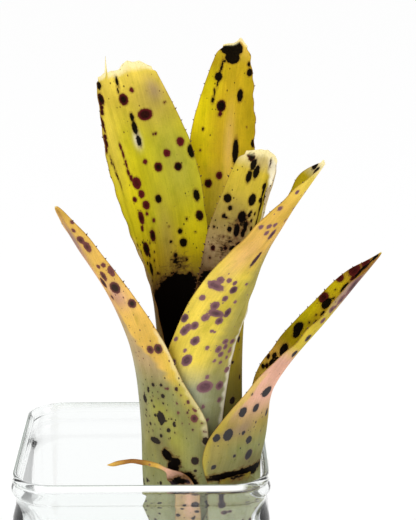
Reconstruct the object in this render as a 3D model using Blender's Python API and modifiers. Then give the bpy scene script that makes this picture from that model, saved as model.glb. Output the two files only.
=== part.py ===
"""A spotted neoregelia offset standing in a square clear glass jar.

Run with: blender --background --python part.py
Units are metres, +Z is up. The origin is the centre of the jar's underside, on the table.
The plant is a spiral of leaves. Each leaf is a wide sheath that wraps the short stem and
then a channelled blade that leans outwards, so every leaf is one lofted strip, thickened.
"""

import math

import bmesh
import bpy
from mathutils import Vector

MM = 0.001

# ---- Driving dimensions, in millimetres -------------------------------------------------
JAR_HALF = 50.0          # half the jar's width across its collar and its body
JAR_HEIGHT = 100.0       # table to rim
JAR_CORNER = 17.0        # corner radius of the outside at full width
JAR_FLOOR = 6.0          # thickness of the floor
JAR_INSIDE = 47.2        # half the width of the inside
JAR_NECK = 48.0          # half the width at the groove under the collar
CORNER_STEPS = 6         # flats in each rounded corner

PLANT_X, PLANT_Y = 22.6, -14.0   # the plant's axis, which stands in one corner of the jar
LEAN = -0.013                    # sideways drift of the axis for each millimetre of height
CLEARANCE = 0.3                  # gap between touching pieces
LEAF_THICKNESS = 0.8
SHEATH_TOP = 92.0                # height at which every sheath has reached its full radius
STEM_FOOT = JAR_FLOOR + CLEARANCE

# A leaf's base sits on the stem's cone: layer 0 is the innermost leaf, highest on the stem.
BASE_Z, BASE_Z_STEP = 62.0, -4.0
BASE_R, BASE_R_STEP = 4.5, 1.3
OUTER_LAYER = 6
STEM_RADIUS = 8.0        # the bare stem under the leaves
STEM_SIDES = 24

LEAF_ROWS, LEAF_COLUMNS = 24, 10  # faces along and across each leaf


def smooth_through(knots, values, t):
    """The cubic through (knots, values) at t, with slopes from the neighbouring points."""
    last = len(knots) - 1
    i = 0
    while i < last - 1 and t > knots[i + 1]:
        i += 1

    def slope(k):
        a, b = max(k - 1, 0), min(k + 1, last)
        return (values[b] - values[a]) / (knots[b] - knots[a])

    span = knots[i + 1] - knots[i]
    s = (t - knots[i]) / span
    return (
        (2 * s**3 - 3 * s**2 + 1) * values[i]
        + (s**3 - 2 * s**2 + s) * span * slope(i)
        + (3 * s**2 - 2 * s**3) * values[i + 1]
        + (s**3 - s**2) * span * slope(i + 1)
    )


def sheath_stations(layer, radius, azimuth, wraps):
    """The bowl-shaped foot of a leaf: from its base on the stem up to its full radius.

    wraps holds the half angle that the sheath covers at its base and at its top."""
    base_z = BASE_Z + BASE_Z_STEP * layer
    base_r = BASE_R + BASE_R_STEP * layer
    stations = []
    for share in (0.0, 0.12, 0.35, 0.65, 1.0):
        swell = math.sqrt(1 - (1 - share) ** 2)
        r = base_r + (radius - base_r) * swell
        wrap = wraps[0] + (wraps[1] - wraps[0]) * share
        z = base_z + (SHEATH_TOP - base_z) * share
        stations.append((z, r, azimuth, r, wrap, 0.0, 0.0))
    return stations


# ---- The withered leaf --------------------------------------------------------------------
# It has fallen sideways just above the rim: it swings round the plant as it reaches outwards,
# rises in a low arch and sags again at its tip, and it curls into a narrow trough on the way.
WITHERED_START = 97.0        # height at which it leaves its sheath
WITHERED_ARCH = 8.5          # how far the arch rises above that
WITHERED_ARCH_TURN = 132.0   # degrees of a sine that the arch covers, past 90 it sags
WITHERED_INNER = 25.0        # distance of the midrib from the axis, where it starts
WITHERED_REACH = 17.0        # how much further out its tip lies
WITHERED_AZIMUTH = -108.0
WITHERED_SWING = -40.0       # degrees it turns round the plant
WITHERED_FLAT_ARC = 20.0     # radius of its cross-section at the sheath
WITHERED_TIGHT_ARC = 1.5     # and where it has curled up
WITHERED_CURLING = 9         # how soon it curls: the higher, the nearer to the sheath
WITHERED_HALF_ANGLES = (13, 39)  # half angle of that arc at the sheath, and at most
WITHERED_STEPS = 5


def withered_blade():
    """The stations of the withered leaf's blade, from its sheath to its tip."""
    flat_angle, curled_angle = WITHERED_HALF_ANGLES
    stations = []
    for step in range(WITHERED_STEPS + 1):
        share = step / WITHERED_STEPS
        arch = math.sin(math.radians(WITHERED_ARCH_TURN) * share)
        flat = (1 - share) ** WITHERED_CURLING
        stations.append((
            WITHERED_START + WITHERED_ARCH * arch,
            WITHERED_INNER + WITHERED_REACH * share ** 1.5,
            WITHERED_AZIMUTH + WITHERED_SWING * share,
            WITHERED_TIGHT_ARC + (WITHERED_FLAT_ARC - WITHERED_TIGHT_ARC) * flat,
            flat_angle + (curled_angle - flat_angle) * arch,
            min(0.3 + 2.5 * share, 1.0),
            0.0,
        ))
    return stations


# ---- The leaves ---------------------------------------------------------------------------
# A station is (height, distance of the midrib from the axis, azimuth in degrees from +X,
# radius of the cross-section's arc, half angle of that arc in degrees, lean, roll in
# degrees). A lean of 0 keeps the cross-section level, as in a sheath, and 1 sets it square
# to the midrib, as in a blade. "cap" is the share of the length over which the tip rounds
# off, and "tip" the width that is left at its very end.
LEAVES = {
    "leaf_back_right": dict(
        layer=0, radius=13.5, azimuth=22, wraps=(110, 112), cap=0.035, tip=0.85,
        blade=[
            (120, 13.5, 22, 13.5, 106, 0.0, 0),
            (150, 13.9, 20, 13.9, 84, 0.1, 0),
            (168, 16.6, 20, 15.6, 67, 0.4, 6),
            (188, 21.3, 22, 17.0, 55, 1.0, 16),
            (204, 27.0, 27, 16.5, 47, 1.0, 16),
            (217, 32.0, 28, 16.0, 39, 1.0, 12),
        ],
    ),
    "leaf_back_left": dict(
        layer=1, radius=15.0, azimuth=126, wraps=(110, 108), cap=0.02, tip=0.92,
        blade=[
            (120, 15.0, 126, 15.0, 103, 0.0, 0),
            (148, 15.5, 127, 15.4, 87, 0.1, 0),
            (168, 18.2, 129, 17.5, 60, 0.5, 0),
            (190, 22.5, 129, 22.2, 49, 1.0, -14),
            (214, 30.5, 129, 30.0, 36, 1.0, -18),
            (234, 39.0, 129, 31.0, 28, 1.0, -18),
            (247, 44.5, 129, 31.0, 22, 1.0, -18),
        ],
    ),
    "leaf_back": dict(
        layer=2, radius=16.5, azimuth=45, wraps=(110, 105), cap=0.03, tip=0.72,
        blade=[
            (115, 16.5, 45, 16.5, 104, 0.0, 0),
            (150, 17.4, 50, 17.2, 84, 0.1, 0),
            (172, 21.8, 62, 18.8, 55, 0.5, 0),
            (195, 29.0, 67, 20.0, 43, 1.0, 0),
            (219, 35.2, 69, 21.0, 40, 1.0, 0),
            (240, 39.6, 68, 21.0, 29, 1.0, 0),
            (257, 42.4, 66, 20.0, 18, 1.0, 0),
        ],
    ),
    "leaf_front": dict(
        layer=3, radius=19.3, azimuth=-115, wraps=(95, 52), cap=0.06, tip=0.50,
        blade=[
            (112, 19.3, -109, 19.3, 44, 0.0, 0),
            (135, 19.6, -97, 19.4, 42, 0.0, 0),
            (150, 20.4, -82, 18.6, 41, 0.3, 0),
            (162, 22.5, -66, 17.5, 45, 0.7, 0),
            (178, 28.4, -48, 17.0, 46, 1.0, 8),
            (195, 38.4, -39, 15.5, 49, 1.0, 20),
            (209, 46.6, -33, 13.0, 49, 1.0, 30),
            (221, 54.0, -29, 10.0, 44, 1.0, 34),
        ],
    ),
    "leaf_left": dict(
        layer=4, radius=22.2, azimuth=207, wraps=(100, 88), cap=0.12, tip=0.12,
        blade=[
            (110, 22.3, 207, 22.2, 74, 0.0, 0),
            (122, 23.0, 207, 22.0, 71, 0.1, 0),
            (136, 24.8, 207, 18.5, 61, 0.5, 0),
            (150, 28.4, 207, 13.8, 63, 1.0, 0),
            (168, 36.1, 207, 10.0, 59, 1.0, 4),
            (188, 47.6, 208, 7.2, 45, 1.0, 20),
            (205, 58.0, 208, 5.0, 42, 1.0, 26),
        ],
    ),
    "leaf_right": dict(
        layer=5, radius=23.5, azimuth=-25, wraps=(84, 56), cap=0.12, tip=0.10,
        blade=[
            (99, 23.8, -25, 23.5, 61, 0.0, 0),
            (107, 25.8, -25, 23.6, 68, 0.0, 1),
            (117, 27.8, -27, 22.5, 65, 0.1, 4),
            (130, 30.6, -23, 16.5, 61, 0.6, 14),
            (144, 38.5, -16, 11.0, 62, 1.0, 25),
            (158, 49.8, -11, 8.4, 66, 1.0, 27),
            (171, 60.6, -7, 6.4, 66, 1.0, 26),
            (182, 70.6, -4, 4.4, 46, 1.0, 26),
        ],
    ),
    "withered_leaf": dict(
        layer=6, radius=25.1, azimuth=-102, wraps=(14, 11), cap=0.10, tip=0.20,
        blade=withered_blade(),
    ),
    "old_leaf_stub": dict(
        layer=6, radius=25.1, azimuth=-56, wraps=(27, 28), cap=0.14, tip=0.60,
        blade=[
            (98.4, 25.2, -56, 24.9, 27, 0.0, 0),
        ],
    ),
}


def leaf_frame(spec, u):
    """(midrib point, outward normal, sideways direction, arc radius, half angle) at u from 0 to 1."""
    stations = spec["stations"]
    knots = spec["knots"]
    z, rho, azimuth, arc, wrap, lean, roll = (
        smooth_through(knots, [s[k] for s in stations], u) for k in range(7)
    )
    a = math.radians(azimuth)
    radial = Vector((math.cos(a), math.sin(a), 0))
    axis = Vector((PLANT_X + LEAN * (z - JAR_HEIGHT), PLANT_Y, z))
    point = axis + radial * rho
    return point, radial, arc, math.radians(wrap), min(max(lean, 0), 1), math.radians(roll)


def leaf_rings(spec, rows, columns):
    """Rows of points across the leaf's middle surface, from its base to its tip."""
    spec["stations"] = (
        sheath_stations(spec["layer"], spec["radius"], spec["azimuth"], spec["wraps"])
        + spec["blade"]
    )
    stations = spec["stations"]
    places = []
    for z, rho, azimuth, *_ in stations:
        a = math.radians(azimuth)
        places.append(Vector((rho * math.cos(a), rho * math.sin(a), z)))
    run = [0.0]
    for a, b in zip(places, places[1:]):
        run.append(run[-1] + (b - a).length)
    spec["knots"] = [s / run[-1] for s in run]

    rings = []
    for row in range(rows + 1):
        u = row / rows
        point, radial, arc, wrap, lean, roll = leaf_frame(spec, u)
        step = 1e-3
        ahead = leaf_frame(spec, min(u + step, 1))[0]
        behind = leaf_frame(spec, max(u - step, 0))[0]
        along = (ahead - behind).normalized()
        up = Vector((0, 0, 1)).lerp(along, lean).normalized()
        normal = (radial - up * radial.dot(up)).normalized()
        side = up.cross(normal)
        if roll:
            normal, side = (
                normal * math.cos(roll) + side * math.sin(roll),
                side * math.cos(roll) - normal * math.sin(roll),
            )
        rounding = (u - 1 + spec["cap"]) / spec["cap"]
        if rounding > 0:
            wrap *= max(math.sqrt(1 - min(rounding, 1) ** 2), spec["tip"])
        ring = []
        for column in range(columns + 1):
            angle = wrap * (2 * column / columns - 1)
            ring.append(point + normal * (arc * (math.cos(angle) - 1)) + side * (arc * math.sin(angle)))
        rings.append(ring)
    return rings


def add_object(name, mesh, material, parent, collection):
    obj = bpy.data.objects.new(name, mesh)
    obj.parent = parent
    mesh.materials.append(material)
    mesh.shade_smooth()
    collection.objects.link(obj)
    return obj


def make_material(name, colour, roughness, alpha=1.0, transmission=0.0):
    material = bpy.data.materials.new(name)
    material.use_nodes = True
    shader = material.node_tree.nodes["Principled BSDF"]
    shader.inputs["Base Color"].default_value = (*colour, 1)
    shader.inputs["Roughness"].default_value = roughness
    shader.inputs["Alpha"].default_value = alpha
    shader.inputs["Transmission Weight"].default_value = transmission
    return material


def strip_mesh(name, rings):
    """An open surface through the rows of points, which Solidify then thickens."""
    bm = bmesh.new()
    grid = [[bm.verts.new(p * MM) for p in ring] for ring in rings]
    for lower, upper in zip(grid, grid[1:]):
        for i in range(len(lower) - 1):
            bm.faces.new((lower[i], lower[i + 1], upper[i + 1], upper[i]))
    mesh = bpy.data.meshes.new(name)
    bm.to_mesh(mesh)
    bm.free()
    return mesh


def make_leaf(name, spec, material, parent, collection):
    mesh = strip_mesh(name, leaf_rings(spec, LEAF_ROWS, LEAF_COLUMNS))
    leaf = add_object(name, mesh, material, parent, collection)
    shell = leaf.modifiers.new("thickness", "SOLIDIFY")
    shell.thickness = LEAF_THICKNESS * MM
    shell.offset = 0
    return leaf


def stem_radius_at(z):
    """The stem's cone, a clearance inside the leaves' bases at the same height."""
    return BASE_R - LEAF_THICKNESS / 2 - CLEARANCE + (z - BASE_Z) * BASE_R_STEP / BASE_Z_STEP


def make_stem(material, parent, collection):
    """A turned stub: a rounded top, the cone that carries the leaves, and a bare foot."""
    shoulder = BASE_Z + BASE_Z_STEP * OUTER_LAYER
    profile = [
        (0.0, BASE_Z + 3.0),
        (stem_radius_at(BASE_Z) * 0.7, BASE_Z + 2.2),
        (stem_radius_at(BASE_Z), BASE_Z),
        (stem_radius_at(shoulder), shoulder),
        (stem_radius_at(shoulder) - 1.0, shoulder - 3.0),
        (STEM_RADIUS, shoulder - 8.0),
        (STEM_RADIUS - 0.8, STEM_FOOT + 10.0),
        (STEM_RADIUS, STEM_FOOT + 1.5),
        (STEM_RADIUS - 1.2, STEM_FOOT),
        (0.0, STEM_FOOT),
    ]
    bm = bmesh.new()
    verts = [bm.verts.new((r * MM, 0, z * MM)) for r, z in profile]
    for upper, lower in zip(verts, verts[1:]):
        bm.edges.new((upper, lower))
    mesh = bpy.data.meshes.new("stem")
    bm.to_mesh(mesh)
    bm.free()
    stem = add_object("stem", mesh, material, parent, collection)
    stem.location = Vector((PLANT_X - LEAN * (JAR_HEIGHT - BASE_Z), PLANT_Y, 0)) * MM
    turn = stem.modifiers.new("turn", "SCREW")
    turn.steps = turn.render_steps = STEM_SIDES
    turn.use_merge_vertices = True
    turn.merge_threshold = 0.00005
    return stem


# ---- The jar ------------------------------------------------------------------------------
# Half widths and heights down the outside from the lip, and then up the inside from the floor.
JAR_OUTSIDE = [
    (JAR_HALF - 1.5, JAR_HEIGHT),
    (JAR_HALF - 0.5, JAR_HEIGHT - 0.6),
    (JAR_HALF, JAR_HEIGHT - 2.0),
    (JAR_HALF, JAR_HEIGHT - 6.5),
    (JAR_HALF - 0.7, JAR_HEIGHT - 8.0),
    (JAR_NECK, JAR_HEIGHT - 9.2),
    (JAR_NECK, JAR_HEIGHT - 13.0),
    (JAR_HALF - 0.8, JAR_HEIGHT - 16.5),
    (JAR_HALF, JAR_HEIGHT - 21.0),
    (JAR_HALF, 9.0),
    (JAR_HALF - 1.0, 4.5),
    (JAR_HALF - 3.4, 1.4),
    (JAR_HALF - 8.0, 0.0),
]
JAR_INNER = [
    (JAR_INSIDE - 7.5, JAR_FLOOR),
    (JAR_INSIDE - 3.0, JAR_FLOOR + 1.2),
    (JAR_INSIDE - 0.8, JAR_FLOOR + 4.0),
    (JAR_INSIDE, JAR_FLOOR + 8.5),
    (JAR_INSIDE, JAR_HEIGHT - 4.0),
    (JAR_INSIDE + 0.4, JAR_HEIGHT - 1.4),
    (JAR_INSIDE + 1.0, JAR_HEIGHT - 0.3),
]


def rounded_square(half, z):
    """A ring of points round a square with round corners, all at one height."""
    corner = JAR_CORNER + half - JAR_HALF
    ring = []
    for quarter in range(4):
        turn = math.radians(90 * quarter)
        middle = Vector((half - corner, half - corner, 0))
        for step in range(CORNER_STEPS + 1):
            angle = math.radians(90 * step / CORNER_STEPS)
            point = middle + Vector((math.cos(angle), math.sin(angle), 0)) * corner
            x = point.x * math.cos(turn) - point.y * math.sin(turn)
            y = point.x * math.sin(turn) + point.y * math.cos(turn)
            ring.append(Vector((x, y, z)))
    return ring


def make_jar(material, parent, collection):
    """The jar is one skin: lofted down its outside, under its foot and up its inside."""
    bm = bmesh.new()
    loops = [
        [bm.verts.new(p * MM) for p in rounded_square(half, z)]
        for half, z in JAR_OUTSIDE + JAR_INNER
    ]
    underside = len(JAR_OUTSIDE) - 1
    for k, upper in enumerate(loops):
        if k == underside:
            continue
        lower = loops[(k + 1) % len(loops)]
        for i in range(len(upper)):
            j = (i + 1) % len(upper)
            bm.faces.new((upper[i], lower[i], lower[j], upper[j]))
    bm.faces.new(reversed(loops[underside]))
    bm.faces.new(loops[underside + 1])
    mesh = bpy.data.meshes.new("jar")
    bm.to_mesh(mesh)
    bm.free()
    return add_object("jar", mesh, material, parent, collection)


def main():
    for obj in list(bpy.data.objects):
        bpy.data.objects.remove(obj)
    collection = bpy.data.collections.new("neoregelia")
    bpy.context.scene.collection.children.link(collection)
    plant = bpy.data.objects.new("plant", None)
    collection.objects.link(plant)

    living = make_material("spotted_leaf", (0.62, 0.56, 0.10), 0.45)
    dry = make_material("dry_leaf", (0.42, 0.26, 0.13), 0.8)
    bark = make_material("stem", (0.24, 0.17, 0.10), 0.85)
    glass = make_material("clear_glass", (0.95, 0.97, 0.96), 0.02, transmission=1.0)

    for name, spec in LEAVES.items():
        leaf_material = dry if spec["layer"] == OUTER_LAYER else living
        make_leaf(name, spec, leaf_material, plant, collection)
    make_stem(bark, plant, collection)
    make_jar(glass, None, collection)


main()
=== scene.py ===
"""Looks for a spotted neoregelia offset that stands in a square clear glass jar.

Lengths are millimetres until a point becomes a vertex, where they are multiplied by MM.
Every leaf is lofted from the same stations as its solid in the frame. On its surface "along"
and "across" are millimetres from its foot and from its midrib. A place on it is given in
shares instead: "up" from the jar's rim to the tip, and "over" from one margin to the other.
Colours, rot, streaks and the larger spots have their places, and seeded bands add the rest;
some colours are painted shade or painted highlights, and the tank's black is partly painted
deep shade.
"""

import math
import random

import bmesh
import bpy
import numpy as np
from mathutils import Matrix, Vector


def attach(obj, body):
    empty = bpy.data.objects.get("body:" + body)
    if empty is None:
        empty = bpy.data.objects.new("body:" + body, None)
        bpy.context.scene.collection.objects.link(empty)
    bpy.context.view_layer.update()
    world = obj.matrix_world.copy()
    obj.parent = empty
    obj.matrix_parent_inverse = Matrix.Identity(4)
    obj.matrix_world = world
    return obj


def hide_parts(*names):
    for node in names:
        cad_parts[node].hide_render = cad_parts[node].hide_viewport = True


MM = 0.001

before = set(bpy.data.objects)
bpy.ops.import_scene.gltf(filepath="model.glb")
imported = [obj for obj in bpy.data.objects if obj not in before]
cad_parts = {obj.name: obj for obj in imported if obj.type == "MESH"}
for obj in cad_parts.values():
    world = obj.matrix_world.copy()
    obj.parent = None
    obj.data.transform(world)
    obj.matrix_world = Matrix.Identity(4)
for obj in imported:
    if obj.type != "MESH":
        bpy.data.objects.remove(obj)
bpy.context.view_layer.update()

# ---- Driving dimensions, as in the frame
JAR_HALF = 50.0
JAR_HEIGHT = 100.0
JAR_CORNER = 17.0
JAR_FLOOR = 6.0
JAR_INSIDE = 47.2
JAR_NECK = 48.0
PLANT_X, PLANT_Y = 22.6, -14.0
LEAN = -0.013
SHEATH_TOP = 92.0
BASE_Z, BASE_Z_STEP = 62.0, -4.0
BASE_R, BASE_R_STEP = 4.5, 1.3
STEM_FOOT = JAR_FLOOR + 0.3

LEAF_THICK = 0.85         # at the midrib
MARGIN_THICK = 0.30
THINNING_FROM = 0.86      # share of the leaf's length after which it gets thinner
THINNING = 0.6            # and the share of its thickness that it has lost at the tip
RELIEF_FROM = 0.45        # share of the length where waves, midrib and pleats set in
RELIEF_GROWS = 0.2        # and over how much of it they grow to their full height
MARGIN_WAVE = 0.32        # how far the margins wave in and out
MIDRIB_DEPTH, MIDRIB_WIDTH = 0.22, 1.6
PLEAT = 0.10              # height of the fine pleats up the leaf
TEAR_REACH = 8.0          # how far down from the tip a tear pulls the surface back
ROWS_PER_MM = 1.75        # mesh rows along a leaf, fine enough to carry the smallest spot
COLUMNS = 96              # and columns across it
JOINED_SHARE = 0.25       # how many spots have a smaller one grown into them
BAND_TRIES = 120          # places that a band tries, and it skips those too near another spot
SHEATH_SPOTS = (8.0, "mixed", 0.6)  # the gap, size and tone of the spots low on every sheath
NO_SPOT = 9.0             # the distance to a spot's edge that stands for none near
SPINE_SIDES = 8
SPINE_SLIMNESS = 0.42     # half a spine's width against its height
TRANSLUCENCY = 0.25       # share of a leaf that is lit through from behind
FACES = ("outside", "inside")
FACE_APART = 30.0         # keeps the noise of one face from repeating on the other


# ---- Colour
def colour(code):
    """A display colour such as "d9c81e" as the linear values that Blender's shaders take."""
    channels = [int(code[i:i + 2], 16) / 255 for i in (0, 2, 4)]
    return np.array([c / 12.92 if c <= 0.04045 else ((c + 0.055) / 1.055) ** 2.4 for c in channels])


# ---- The withered leaf
# It has fallen sideways just above the rim: it swings round the plant as it reaches outwards,
# rises in a low arch and sags again at its tip, and it curls into a narrow trough on the way.
WITHERED_START = 97.0        # height at which it leaves its sheath
WITHERED_ARCH = 8.5          # how far the arch rises above that
WITHERED_ARCH_TURN = 132.0   # degrees of a sine that the arch covers, past 90 it sags
WITHERED_INNER = 25.0        # distance of the midrib from the axis, where it starts
WITHERED_REACH = 17.0        # how much further out its tip lies
WITHERED_AZIMUTH = -108.0
WITHERED_SWING = -40.0       # degrees it turns round the plant
WITHERED_FLAT_ARC = 20.0     # radius of its cross-section at the sheath
WITHERED_TIGHT_ARC = 1.5     # and where it has curled up
WITHERED_CURLING = 9         # how soon it curls: the higher, the nearer to the sheath
WITHERED_HALF_ANGLES = (13, 39)  # half angle of that arc at the sheath, and at most
WITHERED_STEPS = 5


def withered_blade():
    """The stations of the withered leaf's blade, from its sheath to its tip."""
    flat_angle, curled_angle = WITHERED_HALF_ANGLES
    stations = []
    for step in range(WITHERED_STEPS + 1):
        share = step / WITHERED_STEPS
        arch = math.sin(math.radians(WITHERED_ARCH_TURN) * share)
        flat = (1 - share) ** WITHERED_CURLING
        stations.append((
            WITHERED_START + WITHERED_ARCH * arch,
            WITHERED_INNER + WITHERED_REACH * share ** 1.5,
            WITHERED_AZIMUTH + WITHERED_SWING * share,
            WITHERED_TIGHT_ARC + (WITHERED_FLAT_ARC - WITHERED_TIGHT_ARC) * flat,
            flat_angle + (curled_angle - flat_angle) * arch,
            min(0.3 + 2.5 * share, 1.0),
            0.0,
        ))
    return stations


# ---- The leaves: where each one runs
# A station is (height, distance of the midrib from the axis, azimuth, radius of the arc
# across the leaf, half angle of that arc, lean, roll); angles are in degrees. layer counts
# the sheaths outwards, radius is the sheath's, wraps are its half angles at its foot and top,
# cap is the share of the leaf's length that rounds off, and tip the least share of its width.
STATIONS = {
    "leaf_back_right": dict(
        layer=0, radius=13.5, azimuth=22, wraps=(110, 112), cap=0.035, tip=0.85,
        blade=[
            (120, 13.5, 22, 13.5, 106, 0.0, 0),
            (150, 13.9, 20, 13.9, 84, 0.1, 0),
            (168, 16.6, 20, 15.6, 67, 0.4, 6),
            (188, 21.3, 22, 17.0, 55, 1.0, 16),
            (204, 27.0, 27, 16.5, 47, 1.0, 16),
            (217, 32.0, 28, 16.0, 39, 1.0, 12),
        ],
    ),
    "leaf_back_left": dict(
        layer=1, radius=15.0, azimuth=126, wraps=(110, 108), cap=0.02, tip=0.92,
        blade=[
            (120, 15.0, 126, 15.0, 103, 0.0, 0),
            (148, 15.5, 127, 15.4, 87, 0.1, 0),
            (168, 18.2, 129, 17.5, 60, 0.5, 0),
            (190, 22.5, 129, 22.2, 49, 1.0, -14),
            (214, 30.5, 129, 30.0, 36, 1.0, -18),
            (234, 39.0, 129, 31.0, 28, 1.0, -18),
            (247, 44.5, 129, 31.0, 22, 1.0, -18),
        ],
    ),
    "leaf_back": dict(
        layer=2, radius=16.5, azimuth=45, wraps=(110, 105), cap=0.03, tip=0.72,
        blade=[
            (115, 16.5, 45, 16.5, 104, 0.0, 0),
            (150, 17.4, 50, 17.2, 84, 0.1, 0),
            (172, 21.8, 62, 18.8, 55, 0.5, 0),
            (195, 29.0, 67, 20.0, 43, 1.0, 0),
            (219, 35.2, 69, 21.0, 40, 1.0, 0),
            (240, 39.6, 68, 21.0, 29, 1.0, 0),
            (257, 42.4, 66, 20.0, 18, 1.0, 0),
        ],
    ),
    "leaf_front": dict(
        layer=3, radius=19.3, azimuth=-115, wraps=(95, 52), cap=0.06, tip=0.50,
        blade=[
            (112, 19.3, -109, 19.3, 44, 0.0, 0),
            (135, 19.6, -97, 19.4, 42, 0.0, 0),
            (150, 20.4, -82, 18.6, 41, 0.3, 0),
            (162, 22.5, -66, 17.5, 45, 0.7, 0),
            (178, 28.4, -48, 17.0, 46, 1.0, 8),
            (195, 38.4, -39, 15.5, 49, 1.0, 20),
            (209, 46.6, -33, 13.0, 49, 1.0, 30),
            (221, 54.0, -29, 10.0, 44, 1.0, 34),
        ],
    ),
    "leaf_left": dict(
        layer=4, radius=22.2, azimuth=207, wraps=(100, 88), cap=0.12, tip=0.12,
        blade=[
            (110, 22.3, 207, 22.2, 74, 0.0, 0),
            (122, 23.0, 207, 22.0, 71, 0.1, 0),
            (136, 24.8, 207, 18.5, 61, 0.5, 0),
            (150, 28.4, 207, 13.8, 63, 1.0, 0),
            (168, 36.1, 207, 10.0, 59, 1.0, 4),
            (188, 47.6, 208, 7.2, 45, 1.0, 20),
            (205, 58.0, 208, 5.0, 42, 1.0, 26),
        ],
    ),
    "leaf_right": dict(
        layer=5, radius=23.5, azimuth=-25, wraps=(84, 56), cap=0.12, tip=0.10,
        blade=[
            (99, 23.8, -25, 23.5, 61, 0.0, 0),
            (107, 25.8, -25, 23.6, 68, 0.0, 1),
            (117, 27.8, -27, 22.5, 65, 0.1, 4),
            (130, 30.6, -23, 16.5, 61, 0.6, 14),
            (144, 38.5, -16, 11.0, 62, 1.0, 25),
            (158, 49.8, -11, 8.4, 66, 1.0, 27),
            (171, 60.6, -7, 6.4, 66, 1.0, 26),
            (182, 70.6, -4, 4.4, 46, 1.0, 26),
        ],
    ),
    "withered_leaf": dict(
        layer=6, radius=25.1, azimuth=-102, wraps=(14, 11), cap=0.10, tip=0.20,
        blade=withered_blade(),
    ),
    "old_leaf_stub": dict(
        layer=6, radius=25.1, azimuth=-56, wraps=(27, 28), cap=0.14, tip=0.60,
        blade=[
            (98.4, 25.2, -56, 24.9, 27, 0.0, 0),
        ],
    ),
}

# ---- The leaves: how each one looks
PALETTE = {
    "white": "fffae6", "cream": "f8ecc0", "straw": "d8c040", "yellow": "f4da58", "lemon": "e8d810",
    "amber": "f6c85c", "peach": "f8c48c", "rose": "ecb8a0", "gold": "d0b020", "lime": "c4bc20",
    "olive": "a8940f", "moss": "90905c", "sage": "a8aa88", "grey": "b8b49a", "khaki": "b09a50",
    "mauve": "9a7c80", "tan": "c4a878", "rust": "a8743a", "umber": "6e5034", "bark": "30201a",
}

# Places on a leaf are shares: up is 0 where the midrib passes the jar's rim and 1 at the tip,
# over is -1 and 1 at the two margins. Marks were read, to a hundredth up and a twentieth
# over, from a grid of the leaf laid over its picture, and some were moved afterwards.
#
# inside and outside are the colours up the leaf's two faces, as (up, palette colour).
# A wash is a soft patch on a face: (colour, up, over, reach up, reach over, strength).
# A panel colours one side of a line up a face, which is given by (up, over) points:
# (colour, line, side, softness, strength).
# A mark is one spot that stands out: (up, over, shape, tone), and tone 0 is maroon, 1 black.
# A band scatters more of them: (from, to, left, right, gap in mm, size, tone).
# A streak is a broken line of small marks: (from, to, over at both ends, size in mm, tone).
# A rot patch is (up, over, reach up, reach over, strength) and blackens the inner face, or
# both faces where the leaf's look sets it to go through. In the tank the patches stand partly
# for its dark rotting base and partly for painted deep shade.
# cut is how far the torn tip falls short, as (over, millimetres), and torn its raggedness.
# flare widens one side of the blade: (side, up, reach up, share of the width).
# spines are (from, to, spacing in mm, height in mm), as shares of the leaf from its foot.
# dry_tip is about how many millimetres of the tip are dry, crumple is in millimetres, speckle
# is how many tiny dots there are, and spot_codes are the spots' colours: maroon and black on
# the inner face, then both as they look on the outer one.
SHAPES = {  # half sizes up and across the leaf, in millimetres
    "dot": (1.0, 0.9), "spot": (1.7, 1.5), "oval": (2.4, 1.3), "wide": (1.4, 3.2),
    "blotch": (2.5, 2.0), "large": (2.4, 3.0), "bar": (4.6, 1.3),
}
SIZES = {"fine": (0.3, 0.8), "small": (0.6, 1.3), "mixed": (0.7, 2.0)}  # least and most radius

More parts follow.
